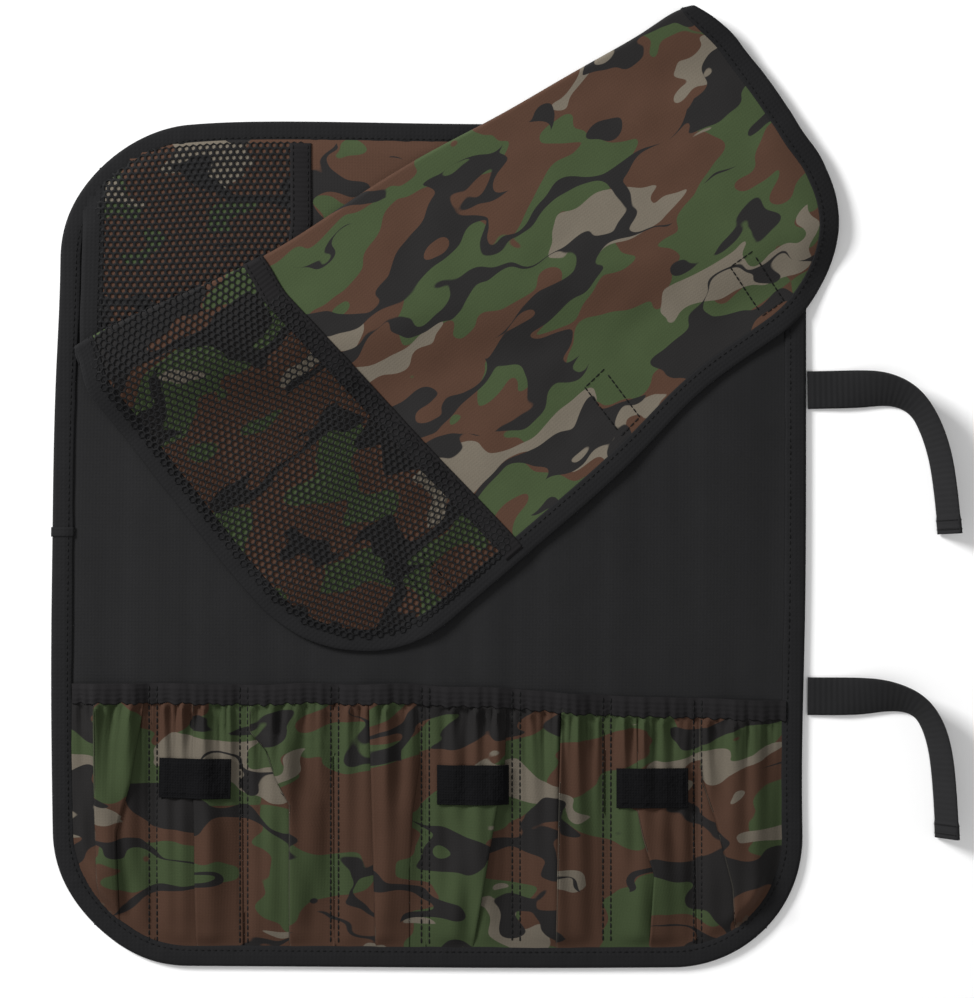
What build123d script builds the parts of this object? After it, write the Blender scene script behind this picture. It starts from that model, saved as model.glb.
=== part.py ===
from build123d import *
import os
from math import cos, radians, sin, tan

# Carving tool roll, spread out on a table. Units are millimetres.
# X runs along the row of pockets, +Y points from the pockets to the flap seam, +Z is up.
# The origin is the centre of the panel's underside.
#
# The flap is sewn along the panel's top edge. It lies folded twice, so it has three layers:
# upper (next to the seam), middle (turned over) and lower (turned back, free end on top).
# Every flap piece is drawn where it would be if the flap lay shut, then folded about the creases.

# ---- driving dimensions -------------------------------------------------------------------
PANEL_WIDTH = 398.0
PANEL_LENGTH = 445.0
PANEL_CORNER = 70.0
TAPE_FACE = 11.0            # a 22 mm binding tape folded over an edge shows 11 mm on each face
TAPE_THICKNESS = 0.5
SHELL_THICKNESS = 1.2
LINING_THICKNESS = 0.6
EDGE_COVER = 0.5            # the tape's fold stands this far outside the cloth it covers

POCKET_COUNT = 8
POCKET_PITCH = 48.0
POCKET_CENTRE_X = -2.4      # the middle divider
POCKET_MOUTH_Y = -76.0
POCKET_BOTTOM_Y = -211.0
POCKET_HOLLOW = 5.0
POCKET_CLOTH = 1.2
POCKET_SEAM = 3.0           # flat strip between two pockets, where the two seam lines run
POCKET_SLOPE = 2.5
MOUTH_BAND_WIDTH = 11.0
MOUTH_BAND_THICKNESS = 0.8
LOOP_PATCH = (40.0, 21.0, 1.4)
LOOP_PATCH_Y = -124.0
LOOP_PATCH_POCKETS = (2, 5, 7)

FLAP_LEFT = -184.0
FLAP_RIGHT = 186.0
FLAP_FREE_Y = -158.0
FLAP_CORNER = 70.0
FLAP_SEAM_GAP = 0.8
FLAP_CLOTH_Z = 3.0
FLAP_CLOTH = 1.2
FLAP_TAPE = 0.4
FOLD_CENTRE = (-221.0, 88.0)    # where the lines of the two creases meet, left of the panel
VALLEY_ANGLE = 9.6              # crease between the upper and the middle layer
RIDGE_ANGLE = 28.6              # crease between the middle and the lower layer, as it lies folded
VALLEY_Z = 5.6
RIDGE_Z = 9.0
CREASE_GAP = 0.8

NET_MOUTH_X = -63.5
NET_THICKNESS = 0.6
NET_HOLLOW = 4.6
NET_SLOPE_WIDTH = 58.0
NET_BAND_WIDTH = 11.0
NET_BAND_THICKNESS = 0.8
HOOK_STRIP = (16.0, 36.0, 1.0)
HOOK_STRIP_Y = -120.0

STRAP_WIDTH = 20.0
STRAP_THICKNESS = 1.5
STRAP_Z = 0.3
UPPER_STRAP_ROUTE = ((200, 82.5), (222, 83), (243, 82.8), (258, 74), (267, 57), (272, 34), (275, 7))
LOWER_STRAP_ROUTE = ((200, -80), (222, -80.2), (243, -79), (258.5, -84), (267, -98),
                     (271.5, -122), (273.5, -153))

# ---- derived dimensions -------------------------------------------------------------------
LINING_Z = SHELL_THICKNESS
LINING_TOP = LINING_Z + LINING_THICKNESS
BINDING_TOP = LINING_TOP + TAPE_THICKNESS
POCKET_TOP = LINING_TOP + POCKET_HOLLOW + POCKET_CLOTH
FLAP_CLOTH_TOP = FLAP_CLOTH_Z + FLAP_CLOTH
FLAP_SEAM_Y = PANEL_LENGTH / 2 - TAPE_FACE - FLAP_SEAM_GAP
FAR = 700.0                 # longer than anything on the roll


# ---- helpers ------------------------------------------------------------------------------
def block(sketch, low, high):
    """A prism of a flat outline between two heights."""
    return extrude(Pos(0, 0, low) * sketch, high - low)


def rectangle(left, right, front, back):
    return Pos((left + right) / 2, (front + back) / 2) * Rectangle(right - left, back - front)


def panel_outline(inset):
    """The panel's rounded outline, drawn in by a distance."""
    return RectangleRounded(PANEL_WIDTH - 2 * inset, PANEL_LENGTH - 2 * inset, PANEL_CORNER - inset)


def side_of_line(point, angle, sign):
    """A large half plane that ends at the line through a point at an angle, on one side of it."""
    half = Pos(0, sign * FAR / 2) * Rectangle(2 * FAR, FAR)
    return Pos(point[0], point[1]) * Rot(0, 0, angle) * half


def shifted(point, angle, distance):
    """A point moved square to a line at an angle."""
    return (point[0] - distance * sin(radians(angle)), point[1] + distance * cos(radians(angle)))


def crease_axis(angle, height):
    direction = (cos(radians(angle)), sin(radians(angle)), 0)
    return Axis((FOLD_CENTRE[0], FOLD_CENTRE[1], height), direction)


VALLEY = crease_axis(VALLEY_ANGLE, VALLEY_Z)
RIDGE = crease_axis(RIDGE_ANGLE, RIDGE_Z)
RIDGE_ANGLE_SHUT = 2 * VALLEY_ANGLE - RIDGE_ANGLE


def to_middle(part):
    """Fold a piece drawn on the shut flap into the middle layer."""
    return part.rotate(VALLEY, 180)


def to_lower(part):
    """Fold a piece drawn on the shut flap into the lower layer, which lies on top."""
    return to_middle(part).rotate(RIDGE, 180)


# ---- the panel ----------------------------------------------------------------------------
def make_outer_shell():
    border = block(panel_outline(EDGE_COVER), TAPE_THICKNESS, SHELL_THICKNESS)
    middle = block(panel_outline(TAPE_FACE), 0, SHELL_THICKNESS)
    return border + middle


def make_inner_lining():
    return block(panel_outline(EDGE_COVER), LINING_Z, LINING_TOP)


def make_panel_binding(shell, lining):
    ring = panel_outline(0) - panel_outline(TAPE_FACE)
    return block(ring, 0, BINDING_TOP) - shell - lining


def pocket_profile(left, right, rise):
    """Cross-section of one pocket: an arch that stands on the lining."""
    return Polyline(
        (left, 0, LINING_TOP),
        (left + POCKET_SLOPE, 0, LINING_TOP + rise),
        (right - POCKET_SLOPE, 0, LINING_TOP + rise),
        (right, 0, LINING_TOP),
        close=True,
    )


def arch(left, right, rise, front, back):
    """A pocket-shaped prism between two Y positions."""
    face = make_face(pocket_profile(left, right, rise))
    return extrude(Pos(0, front, 0) * face, back - front, dir=(0, 1, 0))


def pocket_sides(number):
    """Left and right edge of a pocket, counted from 1 at the left."""
    first_divider = POCKET_CENTRE_X - POCKET_PITCH * POCKET_COUNT / 2
    left = first_divider + POCKET_PITCH * (number - 1) + POCKET_SEAM / 2
    right = first_divider + POCKET_PITCH * number - POCKET_SEAM / 2
    limit = PANEL_WIDTH / 2 - TAPE_FACE - EDGE_COVER - MOUTH_BAND_THICKNESS
    return max(left, -limit), min(right, limit)


def make_pocket(number):
    left, right = pocket_sides(number)
    wall = POCKET_CLOTH
    outside = arch(left, right, POCKET_HOLLOW + wall, POCKET_BOTTOM_Y, POCKET_MOUTH_Y)
    inside = arch(left + wall, right - wall, POCKET_HOLLOW, POCKET_BOTTOM_Y + wall, POCKET_MOUTH_Y)
    edge = TAPE_FACE + EDGE_COVER
    outside &= block(panel_outline(edge), 0, POCKET_TOP)
    inside &= block(panel_outline(edge + wall), 0, POCKET_TOP)
    return outside - inside


def make_mouth_band():
    """The stretchy band along the pocket mouths: one strip that follows the eight arches."""
    back = POCKET_MOUTH_Y
    front = back - MOUTH_BAND_WIDTH
    rise = POCKET_HOLLOW + POCKET_CLOTH
    band = None
    for number in range(1, POCKET_COUNT + 1):
        left, right = pocket_sides(number)
        cover = MOUTH_BAND_THICKNESS
        over = arch(left - cover, right + cover, rise + cover, front, back)
        under = arch(left, right, rise, front, back)
        piece = over - under
        band = piece if band is None else band + piece
    first = pocket_sides(1)[0]
    last = pocket_sides(POCKET_COUNT)[1]
    tie = block(rectangle(first, last, front, back), LINING_TOP, LINING_TOP + MOUTH_BAND_THICKNESS)
    for number in range(1, POCKET_COUNT + 1):
        left, right = pocket_sides(number)
        tie -= arch(left, right, rise, front, back)
    return band + tie


def patch_centre_x(pocket):
    left, right = pocket_sides(pocket)
    return (left + right) / 2


def make_loop_patch(pocket):
    width, length, height = LOOP_PATCH
    centre = patch_centre_x(pocket)
    outline = Pos(centre, LOOP_PATCH_Y) * RectangleRounded(width, length, 1.5)
    return block(outline, POCKET_TOP, POCKET_TOP + height)


# ---- the flap, drawn shut -----------------------------------------------------------------
def flap_outline(inset):
    """The shut flap: square to the seam, with two rounded corners at its free edge."""
    radius = FLAP_CORNER - inset
    left, right, free = FLAP_LEFT + inset, FLAP_RIGHT - inset, FLAP_FREE_Y + inset
    body = rectangle(left, right, free, FAR)
    corners = rectangle(left, left + radius, free, free + radius)
    corners += rectangle(right - radius, right, free, free + radius)
    rounds = Pos(left + radius, free + radius) * Circle(radius)
    rounds += Pos(right - radius, free + radius) * Circle(radius)
    return body - (corners - rounds)


def flap_region(layer):
    """The stretch of the shut flap that belongs to one layer."""
    above_valley = side_of_line(shifted(FOLD_CENTRE, VALLEY_ANGLE, CREASE_GAP), VALLEY_ANGLE, 1)
    below_valley = side_of_line(shifted(FOLD_CENTRE, VALLEY_ANGLE, -CREASE_GAP), VALLEY_ANGLE, -1)
    angle = RIDGE_ANGLE_SHUT
    above_ridge = side_of_line(shifted(FOLD_CENTRE, angle, CREASE_GAP), angle, 1)
    below_ridge = side_of_line(shifted(FOLD_CENTRE, angle, -CREASE_GAP), angle, -1)
    if layer == "upper":
        seam_side = rectangle(-FAR, FAR, FLAP_FREE_Y, FLAP_SEAM_Y)
        return above_valley & seam_side & panel_outline(TAPE_FACE + FLAP_SEAM_GAP)
    if layer == "middle":
        return below_valley & above_ridge
    return below_ridge


def make_flap_cloth(layer):
    return block(flap_outline(EDGE_COVER) & flap_region(layer), FLAP_CLOTH_Z, FLAP_CLOTH_TOP)


def make_flap_binding(layer, cloth, left_side=None):
    """Binding tape around the edge of one layer, or along its left or right edge only."""
    ring = (flap_outline(0) - flap_outline(TAPE_FACE)) & flap_region(layer)
    if left_side is True:
        ring &= rectangle(-FAR, 0, -FAR, FAR)
    if left_side is False:
        ring &= rectangle(0, FAR, -FAR, FAR)
    return block(ring, FLAP_CLOTH_Z - FLAP_TAPE, FLAP_CLOTH_TOP + FLAP_TAPE) - cloth


def net_area(layer):
    left_part = rectangle(-FAR, NET_MOUTH_X, -FAR, FAR)
    return flap_outline(TAPE_FACE) & flap_region(layer) & left_part


def make_flat_net(layer):
    """The net pocket where it is pressed flat between the layers."""
    return block(net_area(layer), FLAP_CLOTH_TOP, FLAP_CLOTH_TOP + NET_THICKNESS)


def net_wedge(height):
    """Space under the net: it rises from the bound edge and is level near the mouth."""
    start = FLAP_LEFT + TAPE_FACE
    level = start + NET_SLOPE_WIDTH
    outline = Polyline(
        (start, 0, FLAP_CLOTH_TOP),
        (level, 0, FLAP_CLOTH_TOP + height),
        (NET_MOUTH_X, 0, FLAP_CLOTH_TOP + height),
        (NET_MOUTH_X, 0, FLAP_CLOTH_TOP),
        close=True,
    )
    return extrude(Pos(0, -FAR / 2, 0) * make_face(outline), FAR, dir=(0, 1, 0))


def make_raised_net():
    """The net pocket on the lower layer, open along its mouth."""
    area = net_area("lower")
    height = NET_HOLLOW + NET_THICKNESS
    top = FLAP_CLOTH_TOP + height
    outside = block(area, FLAP_CLOTH_TOP, top) & net_wedge(height)
    end_walls = flap_outline(TAPE_FACE + NET_THICKNESS) & side_of_line(
        shifted(FOLD_CENTRE, RIDGE_ANGLE_SHUT, -CREASE_GAP - NET_THICKNESS), RIDGE_ANGLE_SHUT, -1
    )
    inside = block(end_walls, FLAP_CLOTH_TOP, top) & net_wedge(NET_HOLLOW)
    return outside - inside


def make_net_band(layer, base):
    """The black band sewn along the mouth of the net."""
    strip = rectangle(NET_MOUTH_X - NET_BAND_WIDTH, NET_MOUTH_X, -FAR, FAR)
    outline = flap_outline(TAPE_FACE) & flap_region(layer) & strip
    return block(outline, base, base + NET_BAND_THICKNESS)


def make_hook_strip(pocket):
    width, length, height = HOOK_STRIP
    outline = Pos(patch_centre_x(pocket), HOOK_STRIP_Y) * RectangleRounded(width, length, 1.5)
    return block(outline, FLAP_CLOTH_Z - height, FLAP_CLOTH_Z)


# ---- the tie straps -----------------------------------------------------------------------
def turn_radii(route):
    """A radius for each corner of a route, as large as its two runs allow."""
    radii = []
    for before, here, after in zip(route, route[1:], route[2:]):
        run_in = Vector(*here) - Vector(*before)
        run_out = Vector(*after) - Vector(*here)
        turn = radians(run_in.get_angle(run_out))
        radii.append(0.45 * min(run_in.length, run_out.length) / tan(turn / 2))
    return radii


def make_strap(route, name):
    radii = turn_radii(route)
    line = FilletPolyline(*route, radius=radii)
    print(name, "length", round(line.length, 1), "radii", [round(r) for r in radii])
    ribbon = trace(line, STRAP_WIDTH)
    return block(ribbon, STRAP_Z, STRAP_Z + STRAP_THICKNESS)


# ---- all nodes ----------------------------------------------------------------------------
def make_nodes():
    nodes = {}
    nodes["outer_shell"] = make_outer_shell()
    nodes["inner_lining"] = make_inner_lining()
    nodes["panel_binding"] = make_panel_binding(nodes["outer_shell"], nodes["inner_lining"])
    for number in range(1, POCKET_COUNT + 1):
        nodes[f"pocket_{number}"] = make_pocket(number)
    nodes["pocket_mouth_band"] = make_mouth_band()
    for index, pocket in enumerate(LOOP_PATCH_POCKETS, start=1):
        nodes[f"loop_patch_{index}"] = make_loop_patch(pocket)

    flat_band_base = FLAP_CLOTH_TOP + NET_THICKNESS
    for layer, place in (("upper", lambda part: part), ("middle", to_middle)):
        cloth = make_flap_cloth(layer)
        nodes[f"flap_{layer}_cloth"] = place(cloth)
        nodes[f"flap_{layer}_binding_left"] = place(make_flap_binding(layer, cloth, True))
        nodes[f"flap_{layer}_binding_right"] = place(make_flap_binding(layer, cloth, False))
        nodes[f"flap_{layer}_net"] = place(make_flat_net(layer))
        nodes[f"flap_{layer}_net_band"] = place(make_net_band(layer, flat_band_base))

    cloth = make_flap_cloth("lower")
    nodes["flap_lower_cloth"] = to_lower(cloth)
    nodes["flap_lower_binding"] = to_lower(make_flap_binding("lower", cloth))
    nodes["flap_lower_net"] = to_lower(make_raised_net())
    raised_base = FLAP_CLOTH_TOP + NET_HOLLOW + NET_THICKNESS
    nodes["flap_lower_net_band"] = to_lower(make_net_band("lower", raised_base))
    for index, pocket in enumerate(LOOP_PATCH_POCKETS, start=1):
        nodes[f"hook_strip_{index}"] = to_lower(make_hook_strip(pocket))

    nodes["strap_upper"] = make_strap(UPPER_STRAP_ROUTE, "strap_upper")
    nodes["strap_lower"] = make_strap(LOWER_STRAP_ROUTE, "strap_lower")
    return nodes


os.makedirs("parts", exist_ok=True)
for name, part in make_nodes().items():
    part.label = name
    export_step(part, f"parts/{name}.step")
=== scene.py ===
import bmesh
import bpy
import math
import numpy as np
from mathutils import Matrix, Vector
from mathutils.bvhtree import BVHTree


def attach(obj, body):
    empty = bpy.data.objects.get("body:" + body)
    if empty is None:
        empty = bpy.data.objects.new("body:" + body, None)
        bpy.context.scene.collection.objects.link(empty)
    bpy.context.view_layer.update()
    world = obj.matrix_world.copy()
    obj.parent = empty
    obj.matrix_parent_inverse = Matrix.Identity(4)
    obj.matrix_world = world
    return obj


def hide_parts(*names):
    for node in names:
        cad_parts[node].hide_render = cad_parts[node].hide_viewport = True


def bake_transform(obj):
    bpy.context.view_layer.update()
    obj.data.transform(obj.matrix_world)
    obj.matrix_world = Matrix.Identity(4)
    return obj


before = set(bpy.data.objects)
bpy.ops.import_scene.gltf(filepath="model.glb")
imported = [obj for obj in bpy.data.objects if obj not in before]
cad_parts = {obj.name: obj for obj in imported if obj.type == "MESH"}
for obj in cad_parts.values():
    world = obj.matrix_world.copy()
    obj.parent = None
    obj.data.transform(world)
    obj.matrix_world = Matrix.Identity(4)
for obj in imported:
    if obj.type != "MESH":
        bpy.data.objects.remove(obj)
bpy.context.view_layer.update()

# Lengths are millimetres in the row's frame; meshes are scaled to metres when they are made.
MM = 0.001

# ---- driving dimensions, the same as the part's -------------------------------------------
PANEL_WIDTH = 398.0
PANEL_LENGTH = 445.0
PANEL_CORNER = 70.0
TAPE_FACE = 11.0            # how far the folded binding reaches in from an edge
BINDING_TOP = 3.0

POCKET_COUNT = 8
POCKET_PITCH = 48.0
POCKET_CENTRE_X = -2.4
POCKET_BOTTOM_Y = -214.0
POCKET_SIDE_X = 189.0
POCKET_DEPTH = 138.0
SEAM_HALF = 2.1             # half the distance between a divider's two seam lines
SEAM_Z = 2.5                # height of the pockets' cloth where it is sewn down
POCKET_LOWEST_Z = 2.3
LOOP_SIZE = (38.0, 21.0)
LOOP_PATCHES = (((-124.0, -123.0), -0.02), ((22.8, -126.5), 0.0), ((117.5, -128.2), 0.0))   # centre, turn

FLAP_LEFT = -184.0
FLAP_RIGHT = 186.0
FLAP_FREE_Y = -158.0
FLAP_TOP_Y = 216.0
FLAP_CORNER = 70.0
FOLD_CENTRE = np.array((-221.0, 88.0))
VALLEY_ANGLE = math.radians(9.6)
RIDGE_ANGLE = math.radians(28.6)
UPPER_Z = 3.6
MIDDLE_Z = 7.6
LOWER_Z = 10.4
CLOTH_THICKNESS = 1.0
NET_MOUTH_X = -63.5
NET_BAND_WIDTH = 11.0
NET_PITCH = 3.6
NET_HOLE = 0.75             # hole size as a share of the pitch
HOOK_STRIP_SIZE = (16.0, 36.0)
HOOK_STRIP_Y = -127.0
HOOK_STRIP_X = (-110.0, 24.0, 122.0)

STRAP_WIDTH = 20.0
STRAP_THICKNESS = 1.3
STRAP_TILT = math.radians(62)           # how far the webbing turns up on its edge
HEM_LENGTH = 9.0
UPPER_STRAP_ROUTE = ((200, 82.0), (222, 82.4), (243, 83.0), (257.5, 75), (266.5, 57),
                     (271.6, 34), (274.0, 5.5))
LOWER_STRAP_ROUTE = ((200, -80), (222, -80.2), (243, -79), (258.5, -84), (267, -98),
                     (271.2, -122), (272.6, -155.0))

STITCH_LENGTH = 2.3
STITCH_PITCH = 3.4
THREAD_RADIUS = 0.24

# ---- derived ------------------------------------------------------------------------------
VALLEY_RADIUS = (MIDDLE_Z - UPPER_Z) / 2
RIDGE_RADIUS = (LOWER_Z - MIDDLE_Z) / 2
VALLEY_HALF = math.pi * VALLEY_RADIUS / 2
RIDGE_HALF = math.pi * RIDGE_RADIUS / 2
FOLD_TURN = 2 * (RIDGE_ANGLE - VALLEY_ANGLE)
REGIONS = ("upper", "valley", "middle", "ridge", "lower")


# ---- small numeric helpers ----------------------------------------------------------------
def smooth(value):
    """Smooth step from 0 to 1."""
    t = np.clip(value, 0.0, 1.0)
    return t * t * (3 - 2 * t)


def noise(x, y, size, seed):
    """Smooth noise from -1 to 1 whose bumps are about as wide as size."""
    count = 64
    grid = np.random.default_rng(seed).uniform(-1, 1, (count, count))
    u, v = np.asarray(x) / size + 31.7, np.asarray(y) / size + 17.3
    i, j = np.floor(u).astype(int), np.floor(v).astype(int)
    a, b = smooth(u - i), smooth(v - j)
    low = grid[i % count, j % count] * (1 - a) + grid[(i + 1) % count, j % count] * a
    high = grid[i % count, (j + 1) % count] * (1 - a) + grid[(i + 1) % count, (j + 1) % count] * a
    return low * (1 - b) + high * b


def bump(value, centre, width):
    return np.exp(-(((value - centre) / width) ** 2))


def rounded_inset(x, y, left, right, low, high, radius):
    """Distance inside a rounded rectangle; negative outside."""
    half_x, half_y = (right - left) / 2, (high - low) / 2
    qx = np.abs(x - (left + right) / 2) - half_x + radius
    qy = np.abs(y - (low + high) / 2) - half_y + radius
    outside = np.hypot(np.maximum(qx, 0), np.maximum(qy, 0))
    return radius - outside - np.minimum(np.maximum(qx, qy), 0)


def panel_inset(x, y):
    half_x, half_y = PANEL_WIDTH / 2, PANEL_LENGTH / 2
    return rounded_inset(x, y, -half_x, half_x, -half_y, half_y, PANEL_CORNER)


def flap_inset(x, y):
    """Distance inside the flap's left, free and right edges; the seam edge doesn't count."""
    return rounded_inset(x, y, FLAP_LEFT, FLAP_RIGHT, FLAP_FREE_Y, FLAP_TOP_Y + 200, FLAP_CORNER)


# ---- mesh helpers -------------------------------------------------------------------------
def add_object(name, points, faces, materials, flat=None, slots=None):
    """A smooth-shaded mesh object from points in millimetres."""
    mesh = bpy.data.meshes.new(name)
    points = np.asarray(points, float)
    mesh.from_pydata((points * MM).tolist(), [], [tuple(map(int, f)) for f in faces])
    if flat is None:
        flat = points
    layer = mesh.attributes.new("flat", "FLOAT_VECTOR", "POINT")
    layer.data.foreach_set("vector", (np.asarray(flat, float) * MM).ravel())
    for material in materials:
        mesh.materials.append(material)
    if slots is not None:
        mesh.polygons.foreach_set("material_index", np.asarray(slots, np.int32))
    mesh.polygons.foreach_set("use_smooth", [True] * len(mesh.polygons))
    mesh.update()
    obj = bpy.data.objects.new(name, mesh)
    bpy.context.scene.collection.objects.link(obj)
    return obj


def thicken(obj, thickness, back_slot=0, offset=0.0):
    """Gives a sheet its thickness, with another material on its back if it has one."""
    solid = obj.modifiers.new("thickness", "SOLIDIFY")
    solid.thickness = thickness * MM
    solid.offset = offset
    solid.material_offset = back_slot
    solid.use_even_offset = False
    return obj


def grid_faces(rows, columns, wrap=False):
    """Quads of a grid whose points are stored row by row; wrap closes each row into a ring."""
    faces = []
    last = columns if wrap else columns - 1
    for r in range(rows - 1):
        for c in range(last):
            d = (c + 1) % columns
            faces.append((r * columns + c, r * columns + d, (r + 1) * columns + d, (r + 1) * columns + c))
    return faces


def sheet_cells(left, right, low, high, step, keep):
    """A flat grid of points, and the cells whose centres pass the test keep(x, y)."""
    xs = np.linspace(left, right, int(round((right - left) / step)) + 1)
    ys = np.linspace(low, high, int(round((high - low) / step)) + 1)
    gx, gy = np.meshgrid(xs, ys)
    points = np.column_stack([gx.ravel(), gy.ravel(), np.zeros(gx.size)])
    faces = np.array(grid_faces(len(ys), len(xs)))
    centre = points[faces].mean(axis=1)
    faces = faces[keep(centre[:, 0], centre[:, 1])]
    used = np.unique(faces)
    renumber = np.full(len(points), -1)
    renumber[used] = np.arange(len(used))
    return points[used], renumber[faces]


def sweep(path, inward, profile, closed):
    """Carries a closed profile of (inward distance, height) points along a flat path."""
    profile = np.asarray(profile, float)
    rings = path[:, None, :] + inward[:, None, :] * profile[None, :, :1]
    heights = np.broadcast_to(profile[None, :, 1:], rings.shape[:2] + (1,))
    points = np.concatenate([rings, heights], axis=2).reshape(-1, 3)
    rows = len(path)
    faces = grid_faces(rows, len(profile), wrap=True)
    if closed:
        base = (rows - 1) * len(profile)
        for c in range(len(profile)):
            d = (c + 1) % len(profile)
            faces.append((base + c, base + d, d, c))
    else:
        faces.append(tuple(range(len(profile)))[::-1])
        faces.append(tuple(range((rows - 1) * len(profile), rows * len(profile))))
    return points, faces


def line_points(start, end, step):
    start, end = np.asarray(start, float), np.asarray(end, float)
    count = max(2, int(round(np.linalg.norm(end - start) / step)) + 1)
    return start + (end - start) * np.linspace(0, 1, count)[:, None]


def arc_points(centre, radius, first, last, step):
    count = max(3, int(round(radius * abs(last - first) / step)) + 1)
    angles = np.linspace(first, last, count)
    return np.column_stack([centre[0] + radius * np.cos(angles), centre[1] + radius * np.sin(angles)])


def joined_path(parts):
    """One path from several, without the doubled points where they meet."""
    path = np.vstack(parts)
    gaps = np.linalg.norm(np.diff(path, axis=0), axis=1)
    return path[np.concatenate([[True], gaps > 1e-6])]


def left_normals(path, closed):
    """Unit vectors to the left of a path."""
    if closed:
        along = np.roll(path, -1, axis=0) - np.roll(path, 1, axis=0)
    else:
        along = np.gradient(path, axis=0)
    along /= np.linalg.norm(along, axis=1)[:, None]
    return np.column_stack([-along[:, 1], along[:, 0]])


def resampled(path, step):
    """Points evenly spaced along a path."""
    lengths = np.concatenate([[0], np.cumsum(np.linalg.norm(np.diff(path, axis=0), axis=1))])
    places = np.arange(0, lengths[-1], step)
    return np.column_stack([np.interp(places, lengths, path[:, k]) for k in range(path.shape[1])])


def stitch_run(path, height, length=STITCH_LENGTH, radius=THREAD_RADIUS):
    """Thread stitches along a path: (points, faces) of small spindles that lie on a surface.
    height is one number, or a function of x and y."""
    step = STITCH_PITCH / 6
    fine = resampled(np.asarray(path, float), step)
    profile = np.array([(-0.5, 0.25), (-0.3, 0.9), (0.0, 1.0), (0.3, 0.9), (0.5, 0.25)])
    sides = 6
    angles = np.arange(sides) * 2 * math.pi / sides
    points, faces = [], []
    for k in range(0, len(fine) - 6, 6):
        a, b = fine[k], fine[k + 4]
        along = (b - a) / max(np.linalg.norm(b - a), 1e-9)
        across = np.array([-along[1], along[0]])
        middle = (a + b) / 2
        z = height(middle[0], middle[1]) if callable(height) else height
        base = len(points)
        for shift, share in profile:
            centre = middle + along * shift * length
            for angle in angles:
                side = math.cos(angle) * share * radius * 1.25
                lift = math.sin(angle) * share * radius + (share - 0.9) * 0.2
                points.append((*(centre + across * side), z + lift))
        for r in range(len(profile) - 1):
            for c in range(sides):
                d = (c + 1) % sides
                first = base + r * sides
                faces.append((first + c, first + d, first + sides + d, first + sides + c))
        faces.append(tuple(base + c for c in range(sides))[::-1])
        faces.append(tuple(base + (len(profile) - 1) * sides + c for c in range(sides)))
    return np.array(points).reshape(-1, 3), faces


def merged(parts):
    """One (points, faces) from several."""
    points, faces, base = [], [], 0
    for part_points, part_faces in parts:
        points.append(part_points)
        faces += [tuple(base + i for i in face) for face in part_faces]
        base += len(part_points)
    return np.vstack(points), faces


# ---- materials ----------------------------------------------------------------------------
def node(tree, kind, inputs=None, **settings):
    """Adds a shader node; inputs are sockets to link or values to set."""
    made = tree.nodes.new(kind)
    for key, value in settings.items():
        setattr(made, key, value)
    for key, value in (inputs or {}).items():
        if isinstance(value, bpy.types.NodeSocket):
            tree.links.new(value, made.inputs[key])
        else:
            made.inputs[key].default_value = value
    return made


def calc(tree, operation, a, b=0.0):
    return node(tree, "ShaderNodeMath", {0: a, 1: b}, operation=operation).outputs[0]


def noise_value(tree, coords, scale, detail=2.0, roughness=0.5):
    inputs = {"Vector": coords, "Scale": scale, "Detail": detail, "Roughness": roughness}
    return node(tree, "ShaderNodeTexNoise", inputs).outputs["Fac"]


def moved(tree, coords, place=(0, 0, 0), turn=0.0, scale=(1, 1, 1)):
    inputs = {"Vector": coords, "Location": place, "Rotation": (0, 0, turn), "Scale": scale}
    return node(tree, "ShaderNodeMapping", inputs).outputs["Vector"]


def above(tree, value, level, soft=0.0018):
    """1 where a value is above a level, with a narrow soft edge."""
    inputs = {"Value": value, "From Min": level - soft, "From Max": level + soft}
    return node(tree, "ShaderNodeMapRange", inputs).outputs["Result"]


def mixed(tree, share, first, second, kind="MIX"):
    made = node(tree, "ShaderNodeMix", data_type="RGBA", blend_type=kind)
    for key, value in ((0, share), (6, first), (7, second)):
        if isinstance(value, bpy.types.NodeSocket):
            tree.links.new(value, made.inputs[key])
        else:
            made.inputs[key].default_value = value
    return made.outputs[2]


def rgb(red, green, blue):
    """A linear colour from display values of 0 to 255."""
    return tuple((v / 255) ** 2.2 for v in (red, green, blue)) + (1.0,)


def cloth_weave(tree, coords, pitch, turn=0.0):
    """Height of a plain weave whose threads are pitch millimetres apart."""
    scale = 1000.0 / pitch / 2
    threads = []
    for axis in ("X", "Y"):
        inputs = {"Vector": moved(tree, coords, turn=turn), "Scale": scale / math.pi, "Distortion": 0.3}
        wave = node(tree, "ShaderNodeTexWave", inputs, bands_direction=axis)
        threads.append(wave.outputs["Fac"])
    return calc(tree, "MULTIPLY", threads[0], threads[1])


CLOUD_SCALE = 45.0          # noise scales, in bumps to the metre
GRAIN_SCALE = 1400.0
FUZZ_SCALE = 900.0


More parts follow.
